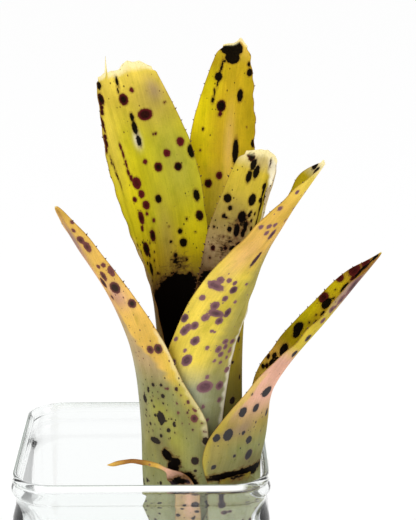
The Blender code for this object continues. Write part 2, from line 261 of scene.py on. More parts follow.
PLAIN = dict(  # what a leaf has unless its look says otherwise
    inside_washes=[], outside_washes=[], inside_panels=[], outside_panels=[], marks=[], streaks=[],
    rot_and_shade_patches=[], rot_and_shade_through=False, cut=[(-1.0, 0.0), (1.0, 0.0)], flare=None, crumple=0.0, spines=None,
    spot_codes=("5c141c", "040203", "8a5a5c", "2c2228"),
)
LOOKS = {}
LOOKS["leaf_back_left"] = dict(
    PLAIN,
    inside=[
        (0.2, "bark"), (0.42, "umber"), (0.5, "gold"), (0.6, "lime"), (0.8, "lime"),
        (0.92, "straw"), (0.98, "yellow"), (1.0, "cream"),
    ],
    outside=[(0.0, "grey"), (0.4, "khaki"), (1.0, "straw")],
    inside_washes=[
        ("lemon", 0.68, 0.6, 0.12, 0.4, 0.9), ("lemon", 0.56, -0.7, 0.07, 0.4, 0.9),
        ("yellow", 0.8, 0.8, 0.12, 0.3, 0.7), ("moss", 0.74, -0.6, 0.12, 0.4, 0.35),
        ("khaki", 0.55, -0.1, 0.1, 0.2, 0.6), ("khaki", 0.9, -0.5, 0.06, 0.5, 0.6),
        ("mauve", 0.93, -0.7, 0.03, 0.2, 0.5), ("white", 0.81, 0.1, 0.02, 0.08, 0.9),
    ],
    outside_washes=[("umber", 0.4, 0.9, 0.1, 0.4, 0.8)],
    inside_panels=[("tan", [(0.2, 0.3), (0.4, 0.6), (0.55, 0.95)], 1, 0.08, 0.8)],
    marks=[
        (0.92, 0.2, "blotch", 0.4), (0.87, -0.25, "large", 0.3), (0.94, -0.1, "dot", 0.0),
        (0.76, -0.45, "spot", 0.1), (0.78, -0.8, "spot", 0.1), (0.73, -0.2, "spot", 0.4),
        (0.75, 0.05, "dot", 0.1), (0.72, -0.6, "spot", 0.6), (0.75, -0.95, "oval", 0.9),
        (0.7, 0.35, "blotch", 0.1), (0.67, 0.3, "spot", 0.1), (0.64, 0.25, "spot", 0.2),
        (0.65, -0.05, "spot", 0.7), (0.61, 0.45, "oval", 0.3), (0.53, 0.55, "blotch", 0.5),
        (0.56, 0.25, "oval", 0.5), (0.53, -0.45, "spot", 1.0), (0.5, -0.25, "dot", 0.9),
        (0.64, -0.85, "oval", 0.9), (0.59, -0.85, "spot", 0.6), (0.48, 0.55, "oval", 0.8),
        (0.93, 0.9, "oval", 0.6), (0.97, 0.95, "oval", 0.8), (0.56, -0.4, "dot", 1.0),
    ],
    bands=[
        (0.56, 0.66, 0.1, 0.5, 3.4, "small", 0.2), (0.44, 0.6, -0.9, -0.1, 4.5, "fine", 1.0),
        (0.66, 0.9, -0.9, 0.9, 7.5, "fine", 0.4), (0.45, 0.55, 0.3, 0.9, 3.0, "fine", 0.9),
    ],
    streaks=[
        (0.97, 0.94, 0.25, 0.35, 0.9, 0.9), (0.87, 0.79, 0.1, 0.05, 1.3, 0.9),
        (0.8, 0.7, 0.55, 0.45, 0.9, 0.3), (0.77, 0.7, 0.9, 0.75, 0.6, 0.6),
        (0.92, 0.79, 0.95, 0.95, 1.2, 0.5),
    ],
    # These blacken the tank: partly its dark rotting base, partly painted deep shade.
    rot_and_shade_patches=[(0.34, 0.0, 0.08, 1.2, 2.2), (0.42, -0.2, 0.03, 0.5, 1.8), (0.48, -0.3, 0.03, 0.3, 0.6)],
    cut=[
        (-1.0, 2.0), (-0.7, -2.0), (-0.2, -2.5), (0.2, 0.0), (0.6, 0.5), (0.65, -7.0), (0.7, 0.5),
        (1.0, 2.0),
    ],
    torn=0.6, dry_tip=2.2, speckle=0.5, spines=(0.52, 0.92, 4.2, 0.7),
)
LOOKS["leaf_back"] = dict(
    PLAIN,
    inside=[
        (0.2, "umber"), (0.5, "khaki"), (0.6, "straw"), (0.72, "gold"), (0.95, "gold"),
        (1.0, "straw"),
    ],
    outside=[(-0.2, "grey"), (0.1, "moss"), (0.3, "olive"), (1.0, "gold")],
    inside_washes=[
        ("olive", 0.8, -0.8, 0.15, 0.4, 0.55), ("olive", 0.96, 0.7, 0.05, 0.5, 0.6),
        ("peach", 0.75, -0.1, 0.08, 0.15, 0.3), ("amber", 1.0, -0.6, 0.03, 0.5, 0.8),
    ],
    inside_panels=[("lemon", [(0.55, 0.4), (0.9, 0.5)], 1, 0.35, 0.8)],
    marks=[
        (0.96, 0.1, "large", 1.0), (0.98, 0.5, "large", 1.0), (0.98, 0.1, "large", 1.0),
        (0.98, -0.3, "spot", 1.0), (0.91, 0.55, "spot", 0.9), (0.84, 0.25, "blotch", 0.6),
        (0.82, 0.25, "dot", 0.4), (0.87, -0.4, "oval", 1.0), (0.73, -0.3, "bar", 1.0),
        (0.95, -0.85, "dot", 0.8), (0.93, -0.85, "spot", 0.8), (0.67, 0.15, "spot", 0.3),
        (0.65, 0.45, "spot", 0.5), (0.75, -0.95, "spot", 1.0),
    ],
    bands=[
        (0.72, 0.98, -0.9, 0.9, 8.0, "fine", 0.6), (0.05, 0.3, -1.0, -0.7, 9.0, "mixed", 1.0),
        (0.0, 0.56, -0.95, 0.95, 8.5, "mixed", 0.9),
    ],
    streaks=[(0.95, 0.84, 0.5, 0.6, 0.7, 0.8)],
    # This blackens the tank: partly its dark rotting base, partly painted deep shade.
    rot_and_shade_patches=[(0.4, 0.0, 0.1, 1.0, 1.2)],
    cut=[(-1.0, 1.0), (-0.4, -1.5), (0.0, -0.5), (0.5, 1.0), (1.0, 2.0)],
    torn=0.5, dry_tip=1.0, speckle=0.35, spines=(0.6, 0.97, 5.0, 0.6),
)
LOOKS["leaf_back_right"] = dict(
    PLAIN,
    inside=[
        (0.2, "bark"), (0.56, "umber"), (0.66, "tan"), (0.76, "khaki"), (0.84, "straw"),
        (0.93, "straw"), (1.0, "cream"),
    ],
    outside=[(0.0, "grey"), (0.6, "khaki"), (1.0, "cream")],
    inside_washes=[
        ("umber", 0.7, 0.1, 0.06, 0.3, 0.45), ("khaki", 0.8, 0.6, 0.05, 0.5, 0.6),
        ("khaki", 0.97, 0.0, 0.03, 0.5, 0.6),
    ],
    # The cream wash is a painted highlight on the curled margin, seen from outside.
    outside_washes=[("cream", 0.9, -0.7, 0.2, 0.8, 0.7)],
    inside_panels=[
        # Painted shade: the olive panel beside the curled margin. Painted highlight: the white
        # panel on that curl.
        ("olive", [(0.6, -0.3), (0.95, -0.15)], -1, 0.15, 0.6),
        ("white", [(0.7, -0.9), (0.85, -0.6), (1.0, -0.1)], -1, 0.12, 1.0),
    ],
    marks=[
        (0.98, 0.75, "spot", 0.5), (0.97, 0.6, "spot", 0.6), (0.95, 0.4, "oval", 0.9),
        (0.93, 0.2, "oval", 0.9), (0.91, 0.4, "oval", 0.9), (0.83, 0.8, "spot", 1.0),
        (0.8, 0.65, "dot", 1.0), (0.84, 0.05, "blotch", 1.0), (0.78, 0.25, "blotch", 1.0),
        (0.73, 0.3, "oval", 1.0), (0.73, 0.5, "dot", 1.0), (0.75, 0.05, "oval", 1.0),
        (0.66, 0.8, "dot", 0.6),
    ],
    bands=[(0.66, 0.8, -0.2, 0.2, 2.6, "small", 1.0), (0.6, 0.78, -0.2, 0.9, 4.0, "fine", 0.8)],
    streaks=[
        (0.89, 0.82, -0.25, -0.3, 1.6, 1.0), (0.86, 0.74, -0.4, -0.35, 1.3, 1.0),
        (0.98, 0.95, -0.25, -0.3, 0.8, 0.7),
    ],
    # The first blackens the tank, partly its dark rotting base and partly painted deep shade.
    rot_and_shade_patches=[
        (0.46, 0.3, 0.08, 1.2, 1.5), (0.56, 0.75, 0.03, 0.25, 1.3), (0.61, 0.4, 0.02, 0.2, 1.1),
        (0.67, 0.3, 0.05, 0.6, 0.6), (0.76, 0.2, 0.04, 0.35, 0.65),
    ],
    cut=[(-1.0, 3.5), (-0.5, 0.5), (0.0, -1.0), (0.5, -0.5), (1.0, 1.5)],
    flare=(-1, 0.9, 0.08, 0.35), torn=0.1, dry_tip=2.0, speckle=0.6, spines=(0.5, 0.94, 3.2, 0.8),
)
LOOKS["leaf_front"] = dict(
    PLAIN,
    inside=[(0.0, "moss"), (0.5, "gold"), (0.8, "olive"), (0.93, "olive"), (1.0, "cream")],
    outside=[
        (-0.3, "sage"), (0.24, "sage"), (0.33, "yellow"), (0.6, "yellow"), (0.7, "amber"),
        (0.85, "amber"), (0.95, "yellow"), (1.0, "cream"),
    ],
    outside_washes=[
        ("gold", 0.3, -0.9, 0.1, 0.2, 0.5), ("peach", 0.66, -0.6, 0.1, 0.3, 0.5),
        ("lime", 0.5, 0.0, 0.12, 0.3, 0.3), ("rust", 1.0, 0.2, 0.02, 0.4, 0.6),
        ("gold", 0.84, -0.1, 0.06, 0.5, 0.45), ("peach", 0.76, 0.2, 0.06, 0.3, 0.4),
    ],
    outside_panels=[
        # Painted shade: moss over the part of the face that curves away from the light.
        ("moss", [(0.05, 0.6), (0.3, 0.3), (0.4, 0.25), (0.55, 0.1), (0.75, 0.1)], 1, 0.3, 0.65),
        ("white", [(0.05, 0.9), (0.45, 0.9), (0.6, 0.9)], 1, 0.05, 0.8),
    ],
    marks=[
        (0.55, -0.65, "wide", 0.2), (0.55, -0.75, "spot", 0.2), (0.57, -0.65, "spot", 0.1),
        (0.58, -0.45, "dot", 0.2), (0.58, -0.25, "dot", 0.3), (0.56, -0.15, "spot", 0.5),
        (0.5, -0.35, "spot", 0.2), (0.48, -0.2, "wide", 0.3), (0.46, -0.4, "spot", 0.1),
        (0.49, 0.1, "oval", 0.5), (0.46, 0.0, "spot", 0.3), (0.43, -0.55, "spot", 0.3),
        (0.42, -0.7, "spot", 0.2), (0.41, -0.75, "spot", 0.3), (0.44, -0.9, "spot", 0.5),
        (0.39, -0.35, "spot", 0.3), (0.33, -0.35, "blotch", 0.3), (0.32, -0.7, "dot", 0.4),
        (0.25, 0.35, "large", 0.2), (0.25, 0.75, "spot", 0.3), (0.28, 0.35, "dot", 0.2),
        (0.84, -0.85, "dot", 0.2), (0.77, -0.85, "dot", 0.2), (0.78, -0.65, "dot", 0.1),
        (0.79, -0.5, "dot", 0.2), (0.76, -0.55, "dot", 0.2), (0.76, -0.3, "oval", 0.4),
        (0.9, -0.8, "dot", 0.3), (0.96, 0.3, "blotch", 0.8), (0.97, 0.9, "spot", 1.0),
        (0.08, 0.6, "blotch", 1.0),
    ],
    bands=[
        (0.32, 0.4, 0.4, 0.8, 2.6, "small", 0.2), (0.35, 0.6, -0.9, 0.2, 4.0, "small", 0.2),
        (0.76, 0.92, -0.9, -0.1, 5.0, "small", 0.3), (0.12, 0.3, 0.3, 0.9, 5.0, "small", 0.3),
    ],
    streaks=[(0.67, 0.63, -0.15, -0.25, 1.7, 0.9)],
    cut=[(-1.0, 0.5), (1.0, 0.3)],
    torn=0.3, dry_tip=1.6, speckle=0.16, spines=(0.6, 0.95, 4.6, 0.5),
    spot_codes=("5c141c", "040203", "8a6268", "4a3440"),
)
LOOKS["leaf_left"] = dict(
    PLAIN,
    inside=[(0.0, "moss"), (0.5, "gold"), (1.0, "rust")],
    outside=[
        (-0.3, "sage"), (0.0, "moss"), (0.1, "moss"), (0.28, "moss"), (0.38, "tan"), (0.5, "tan"),
        (0.6, "peach"), (0.8, "peach"), (1.0, "amber"),
    ],
    outside_washes=[
        ("lime", 0.1, 0.55, 0.08, 0.15, 0.35), ("olive", 0.1, 0.0, 0.12, 0.2, 0.3),
        ("lime", 0.2, 0.35, 0.05, 0.2, 0.35), ("straw", 0.3, 0.9, 0.12, 0.15, 0.6),
        ("rose", 0.63, 0.4, 0.05, 0.4, 0.9), ("grey", 0.25, -0.2, 0.2, 0.25, 0.6),
        # The mauve wash near the tip is painted shade, where the face curves away along its margin.
        ("mauve", 0.86, -0.3, 0.1, 0.35, 0.9), ("rust", 0.62, 0.25, 0.03, 0.3, 0.4),
        ("umber", 0.06, 0.4, 0.04, 0.2, 0.4), ("rust", 0.98, 0.0, 0.03, 0.6, 0.6),
    ],
    outside_panels=[
        ("amber", [(0.34, 0.75), (0.42, 0.4), (0.5, 0.1), (0.7, -0.1), (1.0, -0.2)], 1, 0.1, 0.9),
        ("cream", [(0.05, 0.94), (0.45, 0.92)], 1, 0.04, 0.7),
    ],
    marks=[
        (0.66, 0.55, "blotch", 0.4), (0.59, 0.8, "spot", 0.4), (0.72, 0.85, "oval", 0.1),
        (0.71, 0.35, "oval", 0.3), (0.75, 0.4, "dot", 0.2), (0.75, 0.7, "dot", 0.2),
        (0.68, 0.05, "oval", 0.4), (0.86, 0.35, "spot", 0.2), (0.83, 0.5, "oval", 0.2),
        (0.9, 0.3, "dot", 0.2), (0.42, 0.6, "spot", 0.3), (0.42, 0.8, "spot", 0.4),
        (0.62, 0.1, "dot", 0.4), (0.93, 0.8, "dot", 0.1), (0.23, 0.05, "spot", 0.9),
        (0.26, 0.5, "dot", 1.0), (0.18, 0.35, "blotch", 1.0), (0.19, 0.85, "spot", 0.3),
        (0.11, 0.95, "spot", 0.7), (0.09, 0.2, "wide", 1.0), (0.04, 0.75, "spot", 0.7),
        (0.04, 0.9, "oval", 0.4), (0.14, 0.45, "dot", 1.0),
    ],
    bands=[
        (0.1, 0.3, 0.0, 0.55, 2.2, "fine", 1.0), (0.14, 0.3, 0.5, 0.95, 2.8, "fine", 0.5),
        (0.7, 0.95, 0.1, 0.9, 5.0, "small", 0.2), (-0.02, 0.04, 0.7, 0.95, 4.0, "small", 0.9),
        (-0.35, -0.05, -0.9, 0.9, 5.0, "mixed", 0.9),
    ],
    rot_and_shade_patches=[
        (0.05, 0.38, 0.02, 0.07, 1.4), (0.03, 0.5, 0.02, 0.07, 1.3), (0.01, 0.45, 0.02, 0.08, 1.5),
        (-0.03, 0.6, 0.03, 0.12, 1.3),
    ],
    rot_and_shade_through=True, torn=0.2, dry_tip=0.3, speckle=0.75, spines=(0.58, 0.97, 5.4, 0.7),
    spot_codes=("5c141c", "040203", "7a4846", "2e2824"),
)
LOOKS["leaf_right"] = dict(
    PLAIN,
    inside=[
        (0.0, "moss"), (0.35, "yellow"), (0.42, "amber"), (0.5, "olive"), (0.6, "olive"),
        (0.7, "gold"), (0.82, "gold"), (0.92, "rust"), (1.0, "gold"),
    ],
    outside=[
        (-0.3, "sage"), (0.0, "moss"), (0.1, "moss"), (0.2, "khaki"), (0.3, "rose"), (0.45, "rose"),
        (0.52, "straw"), (0.68, "straw"), (0.78, "tan"), (1.0, "rust"),
    ],
    inside_washes=[("lemon", 0.64, 0.9, 0.08, 0.3, 0.9), ("lemon", 0.78, 0.8, 0.04, 0.4, 0.8)],
    outside_washes=[
        ("khaki", 0.12, -0.85, 0.12, 0.2, 0.6), ("mauve", 0.19, -0.55, 0.03, 0.2, 0.5),
        ("mauve", 0.8, -0.7, 0.08, 0.4, 0.8), ("umber", 0.02, -0.2, 0.04, 0.4, 0.4),
    ],
    outside_panels=[("straw", [(0.0, -0.95), (0.35, -0.85)], -1, 0.04, 0.65)],
    marks=[
        (0.25, -0.75, "spot", 1.0), (0.17, -0.75, "blotch", 1.0), (0.16, -0.9, "spot", 1.0),
        (0.13, -0.35, "spot", 0.8), (0.06, -0.3, "blotch", 0.7), (0.17, -0.5, "dot", 0.8),
        (0.26, -0.5, "spot", 0.8), (0.32, -0.45, "large", 0.9), (0.03, -0.85, "dot", 1.0),
        (0.22, 0.0, "spot", 0.8), (0.49, -0.6, "spot", 0.7), (0.57, -0.65, "spot", 0.6),
        (0.56, 0.7, "blotch", 0.8), (0.54, 0.6, "spot", 1.0), (0.72, 0.8, "blotch", 0.2),
        (0.71, 0.5, "blotch", 1.0), (0.46, 0.6, "blotch", 0.9), (0.41, 0.6, "spot", 1.0),
        (0.39, 0.7, "spot", 1.0), (0.37, 0.8, "dot", 0.6), (0.36, 0.9, "dot", 0.9),
        (0.82, 0.9, "spot", 0.1), (0.88, 0.75, "blotch", 0.1), (0.93, 0.7, "spot", 0.1),
        (0.97, 0.3, "spot", 0.9), (0.83, -0.7, "bar", 0.3), (0.76, -0.7, "oval", 0.3),
    ],
    bands=[
        (0.57, 0.72, 0.25, 0.55, 2.4, "fine", 0.9), (0.36, 0.42, 0.5, 0.95, 2.4, "small", 0.8),
        (0.72, 0.8, 0.3, 0.9, 3.0, "fine", 0.8), (0.05, 0.35, -0.9, 0.0, 6.0, "fine", 0.8),
        (-0.35, -0.06, -0.9, 0.9, 5.0, "mixed", 0.9), (0.76, 0.97, 0.35, 0.95, 3.0, "mixed", 0.5),
        (0.5, 0.75, -0.9, -0.5, 4.5, "small", 0.4),
    ],
    streaks=[(0.96, 0.78, 0.3, 0.35, 1.5, 0.9)],
    # A black band low on the leaf, just above the old stub's edge.
    rot_and_shade_patches=[(-0.02, -0.4, 0.022, 0.65, 1.4)],
    rot_and_shade_through=True, torn=0.3, dry_tip=0.4, speckle=0.35, spines=(0.55, 0.96, 4.4, 0.6),
    spot_codes=("5a1a1a", "040203", "8c6464", "3e3c3e"),
)
LOOKS["withered_leaf"] = dict(
    PLAIN,
    inside=[(-1.0, "umber"), (0.0, "bark"), (0.4, "rust"), (1.0, "rust")],
    outside=[
        (-1.0, "tan"), (-0.4, "tan"), (-0.1, "umber"), (0.1, "rose"), (0.25, "amber"),
        (0.5, "rust"), (0.7, "rust"), (1.0, "amber"),
    ],
    outside_washes=[("rose", -0.5, 0.2, 0.3, 0.5, 0.7), ("rust", 0.6, 0.9, 0.3, 0.4, 0.8)],
    bands=[(-1.0, -0.1, -0.9, 0.9, 4.0, "mixed", 0.9)],
    rot_and_shade_patches=[(-0.12, 0.0, 0.1, 1.0, 0.9)],
    rot_and_shade_through=True, crumple=0.35, torn=0.3, dry_tip=0.3, speckle=0.5,
)
LOOKS["old_leaf_stub"] = dict(
    PLAIN,
    inside=[(-1.0, "umber"), (1.0, "bark")],
    outside=[(0.0, "grey"), (0.8, "sage"), (0.95, "moss"), (1.0, "olive")],
    # This dark wash and the dark patch below darken the stub's top edge.
    outside_washes=[("bark", 0.97, 0.0, 0.06, 1.2, 0.6)],
    bands=[(0.2, 0.9, -0.9, 0.9, 6.0, "mixed", 0.7)],
    rot_and_shade_patches=[(1.0, 0.0, 0.05, 1.2, 0.6)],
    cut=[(-1.0, 0.6), (0.0, 0.0), (1.0, 0.4)],
    rot_and_shade_through=True, crumple=0.15, torn=0.2, dry_tip=0.01, speckle=0.5,
)


# ---- Leaf geometry
def smooth_through(knots, values, t):
    """The cubic through (knots, values) at t, with slopes from the neighbouring points."""
    last = len(knots) - 1
    i = 0
    while i < last - 1 and t > knots[i + 1]:
        i += 1

    def slope(k):
        a, b = max(k - 1, 0), min(k + 1, last)
        return (values[b] - values[a]) / (knots[b] - knots[a])

    span = knots[i + 1] - knots[i]
    s = (t - knots[i]) / span
    return (
        (2 * s**3 - 3 * s**2 + 1) * values[i]
        + (s**3 - 2 * s**2 + s) * span * slope(i)
        + (3 * s**2 - 2 * s**3) * values[i + 1]
        + (s**3 - s**2) * span * slope(i + 1)
    )


def sheath_stations(spec):
    """The bowl-shaped foot of a leaf: from its base on the stem up to its full radius."""
    base_z = BASE_Z + BASE_Z_STEP * spec["layer"]
    base_r = BASE_R + BASE_R_STEP * spec["layer"]
    low, high = spec["wraps"]
    stations = []
    for share in (0.0, 0.12, 0.35, 0.65, 1.0):
        swell = math.sqrt(1 - (1 - share) ** 2)
        r = base_r + (spec["radius"] - base_r) * swell
        z = base_z + (SHEATH_TOP - base_z) * share
        stations.append((z, r, spec["azimuth"], r, low + (high - low) * share, 0.0, 0.0))
    return stations


def leaf_surface(spec, flare):
    """The leaf's middle surface: points, outward normals, along and across, and its u and v.

    u runs from 0 at the foot to 1 at the tip, and v from -1 to 1 between the two margins."""
    stations = sheath_stations(spec) + spec["blade"]
    places = []
    for z, rho, azimuth, *_ in stations:
        a = math.radians(azimuth)
        places.append(Vector((rho * math.cos(a), rho * math.sin(a), z)))
    run = [0.0]
    for a, b in zip(places, places[1:]):
        run.append(run[-1] + (b - a).length)
    knots = [s / run[-1] for s in run]
    lists = list(zip(*stations))

    def at(u):
        z, rho, azimuth, arc, wrap, lean, roll = (smooth_through(knots, line, u) for line in lists)
        a = math.radians(azimuth)
        radial = Vector((math.cos(a), math.sin(a), 0))
        point = Vector((PLANT_X + LEAN * (z - JAR_HEIGHT), PLANT_Y, z)) + radial * rho
        return point, radial, arc, math.radians(wrap), min(max(lean, 0), 1), math.radians(roll)

    rows = int(run[-1] * ROWS_PER_MM)
    step = 1e-3
    v = np.linspace(-1, 1, COLUMNS + 1)
    points, normals, across, along = [], [], [], []
    for row in range(rows + 1):
        u = row / rows
        point, radial, arc, wrap, lean, roll = at(u)
        ahead = (at(min(u + step, 1))[0] - at(max(u - step, 0))[0]).normalized()
        up = Vector((0, 0, 1)).lerp(ahead, lean).normalized()
        normal = (radial - up * radial.dot(up)).normalized()
        side = up.cross(normal)
        n = np.array(normal * math.cos(roll) + side * math.sin(roll))
        s = np.array(side * math.cos(roll) - normal * math.sin(roll))
        rounding = (u - 1 + spec["cap"]) / spec["cap"]
        if rounding > 0:
            wrap *= max(math.sqrt(1 - min(rounding, 1) ** 2), spec["tip"])
        along.append(along[-1] + (point - previous).length if along else 0.0)
        previous = point
        spread = wrap * v
        if flare:
            side_of, middle, reach, share = flare
            above_rim = (point.z - JAR_HEIGHT) / (stations[-1][0] - JAR_HEIGHT)
            widening = share * math.exp(-((above_rim - middle) / reach) ** 2)
            spread = np.where(v * side_of > 0, spread * (1 + widening), spread)
        cos, sin = np.cos(spread)[:, None], np.sin(spread)[:, None]
        points.append(np.array(point) + n * arc * (cos - 1) + s * arc * sin)
        normals.append(n * cos + s * sin)
        across.append(arc * spread)
    v, u = np.meshgrid(v, np.linspace(0, 1, rows + 1))
    along = np.repeat(np.array(along)[:, None], COLUMNS + 1, axis=1)
    return np.array(points), np.array(normals), along, np.array(across), u, v


def waves(values, seed, count, shortest, longest):
    """A smooth random curve of about unit size: a sum of sine waves of random phase."""
    rng = random.Random(seed)
    total = np.zeros_like(values)
    for _ in range(count):
        length = rng.uniform(shortest, longest)
        total += np.sin(values * 2 * math.pi / length + rng.uniform(0, 2 * math.pi))
    return total / math.sqrt(count)


def tear(points, along, across, v, look, seed):
    """The torn tip: near the end, columns stop short of it by uneven amounts, or run past it."""
    short = np.interp(v[-1], *zip(*look["cut"]))
    short = short + look["torn"] * waves(across[-1], seed, 5, 1.6, 9.0) * 0.5
    share = np.clip((along - (along[-1, 0] - TEAR_REACH)) / TEAR_REACH, 0, 1) ** 2
    direction = points[-1] - points[-6]
    direction /= np.linalg.norm(direction, axis=1)[:, None] + 1e-9
    return points - direction[None] * (share * short[None])[..., None]


def shape_leaf(spec, look, seed):
    """The leaf's middle surface with its wavy margins, midrib channel, crumples and torn tip."""
    points, normals, along, across, u, v = leaf_surface(spec, look["flare"])
    blade = np.clip((u - RELIEF_FROM) / RELIEF_GROWS, 0, 1)
    wave = waves(along + 40 * np.sign(v), seed, 4, 6.0, 19.0)
    lift = MARGIN_WAVE * np.abs(v) ** 6 * blade * wave
    lift = lift - MIDRIB_DEPTH * blade * np.exp(-((across / MIDRIB_WIDTH) ** 2))
    lift = lift + PLEAT * blade * waves(across, seed + 1, 4, 2.2, 6.0)
    if look["crumple"]:
        rough = waves(along, seed + 2, 5, 4.0, 15.0) * waves(across + 3.0, seed + 3, 4, 4.0, 12.0)
        lift = lift + look["crumple"] * np.clip(u * 1.4, 0, 1) * rough
    points = tear(points + normals * lift[..., None], along, across, v, look, seed + 4)
    return points, normals, along, across, u, v


class Chart:
    """A leaf's own map: its midrib in millimetres, and the shares up and over that places use."""

    def __init__(self, points, along, across):
        self.along, self.across = along, across
        midrib_height = points[:, COLUMNS // 2, 2]
        self.start = along[np.argmax(midrib_height > JAR_HEIGHT), 0]
        self.reach = along[-1, 0] - self.start
        self.up = (along - self.start) / self.reach
        half = np.where(across > 0, across[:, -1:], -across[:, :1])
        self.over = across / np.maximum(half, 1e-6)

    def place(self, up, over):
        """Millimetres along the midrib and across it."""
        s = self.start + up * self.reach
        edge = self.across[:, -1 if over > 0 else 0]
        return s, abs(over) * float(np.interp(s, self.along[:, 0], edge))


def smoothstep(low, high, x):
    t = np.clip((x - low) / (high - low), 0, 1)
    return t * t * (3 - 2 * t)


def spot_field(spots, along, across):
    """Distance in millimetres to the nearest spot's edge, negative inside, and its tone."""
    nearest = np.full(along.shape, NO_SPOT)
    tone = np.zeros(along.shape)
    for s, t, rs, rt, dark in spots:
        reach = np.hypot((along - s) / rs, (across - t) / rt)
        distance = (reach - 1) * min(rs, rt)
        closer = distance < nearest
        nearest = np.where(closer, distance, nearest)
        tone = np.where(closer, dark, tone)
    return nearest, tone


def scatter_band(band, chart, placed, rng):
    """Spots of one band, none closer to another than its gap; now and then two grow together."""
    start, end, left, right, gap, size, tone = band
    smallest, largest = SIZES[size]
    spots = []
    for _ in range(BAND_TRIES):
        s, t = chart.place(rng.uniform(start, end), rng.uniform(left, right))
        radius = smallest + (largest - smallest) * rng.random() ** 1.6
        if all(math.hypot(s - p[0], t - p[1]) > gap for p in placed + spots):
            dark = min(max(tone + rng.uniform(-0.15, 0.15), 0), 1)
            spots.append((s, t, radius * rng.uniform(0.9, 1.3), radius, dark))
            if rng.random() < JOINED_SHARE:
                turn = rng.uniform(0, 2 * math.pi)
                reach = radius * 1.5
                spots.append((s + reach * math.cos(turn), t + reach * math.sin(turn),
                              radius * 0.7, radius * 0.7, dark))
    return spots


def streak_marks(streak, chart, rng):
    """A broken line of marks, uneven in length and spacing."""
    start, end, first, last, size, tone = streak
    marks = []
    share = 0.0
    while share < 1:
        s, t = chart.place(start + (end - start) * share, first + (last - first) * share)
        length = size * rng.uniform(0.7, 2.4)
        marks.append((s, t + rng.uniform(-0.5, 0.5), length, size * rng.uniform(0.4, 0.9), tone))
        share += (length * rng.uniform(1.2, 2.4)) / (abs(end - start) * chart.reach)
    return marks


def all_spots(look, chart, seed):
    """Every spot of a leaf: marks, streaks and bands, and a sparse scatter on its sheath."""
    rng = random.Random(seed)
    spots = []
    for up, over, shape, tone in look["marks"]:
        tall, wide = SHAPES[shape]
        swell = rng.uniform(0.9, 1.1)
        spots.append((*chart.place(up, over), tall * swell, wide * swell, tone))
    for streak in look["streaks"]:
        spots += streak_marks(streak, chart, rng)
    for band in look["bands"]:
        spots += scatter_band(band, chart, spots, rng)
    lowest = min(band[0] for band in look["bands"])
    foot = -chart.start / chart.reach
    sheath = (foot, min(lowest, 0), -1, 1, *SHEATH_SPOTS)
    return spots + scatter_band(sheath, chart, spots, rng)


def ramp_colour(stops, up):
    places = [s for s, _ in stops]
    shades = np.array([colour(PALETTE[shade]) for _, shade in stops])
    return np.stack([np.interp(up, places, shades[:, k]) for k in range(3)], axis=-1)


def patch(chart, up, over, reach_up, reach_over):
    """A soft round patch, 1 in its middle."""
    return np.exp(-(((chart.up - up) / reach_up) ** 2) - ((chart.over - over) / reach_over) ** 2)


def laid_over(tint, shade, amount):
    """The tint with a palette colour laid over it, by its own amount at each point."""
    return tint + (colour(PALETTE[shade]) - tint) * amount[..., None]


def face_tint(look, face, chart, seed):
    """The colour of one face: its stops up the leaf, then its panels, then its soft washes."""
    tint = ramp_colour(look[face], chart.up)
    wander = waves(chart.along, seed, 4, 3.0, 13.0)
    for shade, line, side, softness, strength in look[face + "_panels"]:
        border = np.interp(chart.up, *zip(*line))
        past = side * (chart.over - border) + 0.5 * min(softness, 0.08) * wander
        ends = smoothstep(line[0][0] - 0.05, line[0][0], chart.up)
        ends = ends * smoothstep(line[-1][0] + 0.05, line[-1][0], chart.up)
        tint = laid_over(tint, shade, strength * ends * smoothstep(-softness, softness, past))
    for shade, *place, strength in look[face + "_washes"]:
        tint = laid_over(tint, shade, strength * patch(chart, *place))
    return tint


# The blackening patches of one face: rot, and in the tank partly painted deep shade.
def rot_and_shade_field(look, face, chart):
    rot_and_shade = np.zeros(chart.along.shape)
    if face == "inside" or look["rot_and_shade_through"]:
        for *place, strength in look["rot_and_shade_patches"]:
            rot_and_shade = np.maximum(rot_and_shade, strength * patch(chart, *place))
    return rot_and_shade


def both(field):
    """The same values on the outer face and on the inner one."""
    return np.stack([field, field])


def grid_faces(rows, columns, offset, flip):
    """Quads of a grid of points, and flip turns them to face the other way."""
    i = np.arange(rows)[:, None] * (columns + 1) + np.arange(columns)[None] + offset
    quads = np.stack([i, i + 1, i + columns + 2, i + columns + 1], axis=-1).reshape(-1, 4)
    return quads[:, ::-1] if flip else quads


def rim_faces(loop, offset):
    """Quads between the outline of the outer face and that of the inner face."""
    following = np.roll(loop, -1)
    return np.stack([following, loop, loop + offset, following + offset], axis=-1)


def mesh_from(name, points, quads):
    mesh = bpy.data.meshes.new(name)
    mesh.vertices.add(len(points))
    mesh.vertices.foreach_set("co", np.asarray(points * MM, np.float32).ravel())
    mesh.loops.add(quads.size)
    mesh.polygons.add(len(quads))
    mesh.polygons.foreach_set("loop_start", np.arange(0, quads.size, 4, dtype=np.int32))
    mesh.loops.foreach_set("vertex_index", quads.astype(np.int32).ravel())
    mesh.update(calc_edges=True)
    return mesh


def give_attribute(mesh, name, values, kind="FLOAT"):
    layer = mesh.attributes.new(name, kind, "POINT")
    field = {"FLOAT": "value", "FLOAT_VECTOR": "vector", "FLOAT_COLOR": "color"}[kind]
    layer.data.foreach_set(field, np.asarray(values, np.float32).ravel())


def add_object(name, mesh, material):
    """A smooth object of the scene, with one material."""
    mesh.shade_smooth()
    mesh.materials.append(material)
    return link(bpy.data.objects.new(name, mesh))


def link(obj):
    bpy.context.scene.collection.objects.link(obj)
    return obj


def finish_mesh(name, bm):
    mesh = bpy.data.meshes.new(name)
    bm.to_mesh(mesh)
    bm.free()
    return mesh


